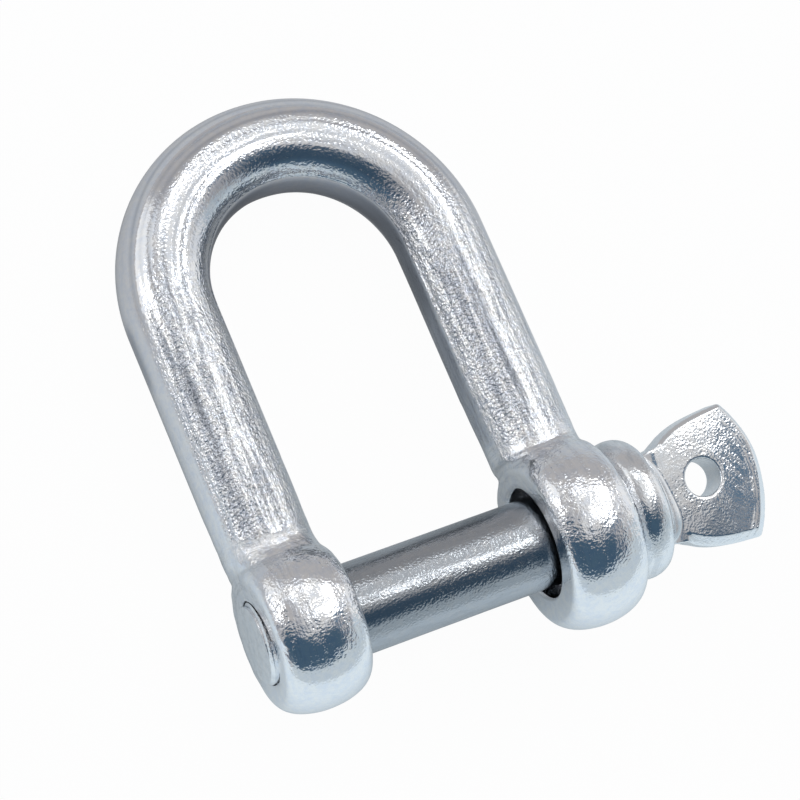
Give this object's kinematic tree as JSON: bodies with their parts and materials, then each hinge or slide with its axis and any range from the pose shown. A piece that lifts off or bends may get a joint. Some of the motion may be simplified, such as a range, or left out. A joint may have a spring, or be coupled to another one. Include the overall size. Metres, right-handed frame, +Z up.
{
  "type": "chain joining shackle",
  "caption": "Zinc-plated forged D-shackle for joining chain: a U-shaped bow with two round ears, closed by a screw pin with a collar and a flat drilled spade head.",
  "frame": {"origin": "centre of the bounding box on the ground that the shackle lies on", "axes": "+X runs roughly along the pin from the tapped ear to the spade head, +Y from the pin to the crown of the bow, +Z up from the ground"},
  "size_m": [0.0592, 0.066, 0.0205],
  "materials": {
    "plated_forging": "bright zinc plating over a drop-forged surface, with draw marks along the bar and rounded, sparkling ears",
    "plated_pin": "bright zinc plating over a turned shank, grained on the flat of the spade"
  },
  "bodies": {
    "bow": {"bow": "plated_forging"},
    "screw_pin": {"screw_pin": "plated_pin"}
  },
  "joints": [
    {"name": "pin_slide", "type": "slide", "parent": "bow", "child": "screw_pin", "axis": [0.999, 0.0019, 0.0435], "range_m": [0, 0.045]}
  ]
}
